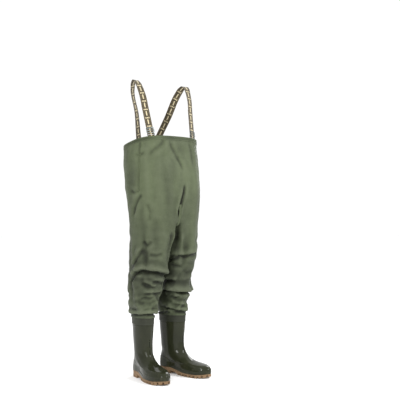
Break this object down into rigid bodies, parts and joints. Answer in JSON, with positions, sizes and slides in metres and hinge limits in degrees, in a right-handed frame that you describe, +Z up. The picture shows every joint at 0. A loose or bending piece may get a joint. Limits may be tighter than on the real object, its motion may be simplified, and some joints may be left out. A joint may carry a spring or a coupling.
{
  "type": "chest waders",
  "caption": "Chest-high waders: a fabric bib and legs joined to calf-high rubber boots, held up by webbing braces with sliding adjusters.",
  "frame": {"origin": "on the ground, midway across, and midway between the toes and the back of the hem", "axes": "+Z up, the front faces -Y, the wearer's right side is at -X"},
  "size_m": [0.3953, 0.3641, 1.4881],
  "materials": {
    "upper_fabric": "matt coated nylon, grey olive",
    "boot_pvc": "semi-gloss dark olive",
    "weld_strip": "matt dark olive",
    "gum_sole": "matt gum tan",
    "insole_felt": "felt",
    "boot_lining": "knitted nylon",
    "webbing": "woven, dark brown with pale dashes",
    "buckle_metal": "satin grey"
  },
  "bodies": {
    "torso": {"bib_front_panel": "upper_fabric", "bib_back_panel": "upper_fabric", "hem_band": "upper_fabric", "right_side_seam": "upper_fabric", "left_side_seam": "upper_fabric", "crotch_gusset": "upper_fabric", "right_hip_panel": "upper_fabric", "left_hip_panel": "upper_fabric", "right_front_tab": "webbing", "left_front_tab": "webbing", "right_back_tab": "webbing", "left_back_tab": "webbing"},
    "right_thigh": {"right_thigh_panel": "upper_fabric", "right_knee_panel": "upper_fabric"},
    "right_shin": {"right_shin_panel": "upper_fabric", "right_boot_shell": "boot_pvc", "right_outsole": "gum_sole", "right_insole": "insole_felt", "right_lining": "boot_lining", "right_rand": "boot_pvc", "right_weld_band": "weld_strip"},
    "right_brace": {"right_strap": "webbing", "right_front_ring": "buckle_metal", "right_back_ring": "buckle_metal"},
    "right_slide": {"right_adjuster": "buckle_metal"},
    "left_thigh": {"left_thigh_panel": "upper_fabric", "left_knee_panel": "upper_fabric"},
    "left_shin": {"left_shin_panel": "upper_fabric", "left_boot_shell": "boot_pvc", "left_outsole": "gum_sole", "left_insole": "insole_felt", "left_lining": "boot_lining", "left_rand": "boot_pvc", "left_weld_band": "weld_strip"},
    "left_brace": {"left_strap": "webbing", "left_front_ring": "buckle_metal", "left_back_ring": "buckle_metal"},
    "left_slide": {"left_adjuster": "buckle_metal"}
  },
  "joints": [
    {"name": "right_hip_flex", "type": "hinge", "parent": "torso", "child": "right_thigh", "pos_m": [-0.09, 0.019, 0.85], "axis": [-1, 0, 0], "range_deg": [-15, 50], "deforming": ["right_hip_panel", "crotch_gusset"]},
    {"name": "right_knee_flex", "type": "hinge", "parent": "right_thigh", "child": "right_shin", "pos_m": [-0.088, 0.05, 0.49], "axis": [1, 0, 0], "range_deg": [0, 70], "deforming": ["right_knee_panel"]},
    {"name": "right_brace_swing", "type": "hinge", "parent": "torso", "child": "right_brace", "pos_m": [-0.132, -0.049, 1.21], "axis": [-0.3685, -0.9107, 0.1864], "range_deg": [0, 50], "deforming": ["right_front_tab", "right_back_tab"]},
    {"name": "right_strap_adjust", "type": "slide", "parent": "right_brace", "child": "right_slide", "axis": [-0.0897, 0.2192, 0.9715], "range_m": [0, 0.1]},
    {"name": "left_hip_flex", "type": "hinge", "parent": "torso", "child": "left_thigh", "pos_m": [0.09, 0.019, 0.85], "axis": [-1, 0, 0], "range_deg": [-15, 50], "deforming": ["left_hip_panel", "crotch_gusset"]},
    {"name": "left_knee_flex", "type": "hinge", "parent": "left_thigh", "child": "left_shin", "pos_m": [0.088, 0.05, 0.49], "axis": [1, 0, 0], "range_deg": [0, 70], "deforming": ["left_knee_panel"]},
    {"name": "left_brace_swing", "type": "hinge", "parent": "torso", "child": "left_brace", "pos_m": [0.132, -0.049, 1.21], "axis": [-0.3685, 0.9107, -0.1864], "range_deg": [0, 50], "deforming": ["left_front_tab", "left_back_tab"]},
    {"name": "left_strap_adjust", "type": "slide", "parent": "left_brace", "child": "left_slide", "axis": [0.0897, 0.2192, 0.9715], "range_m": [0, 0.1]}
  ]
}
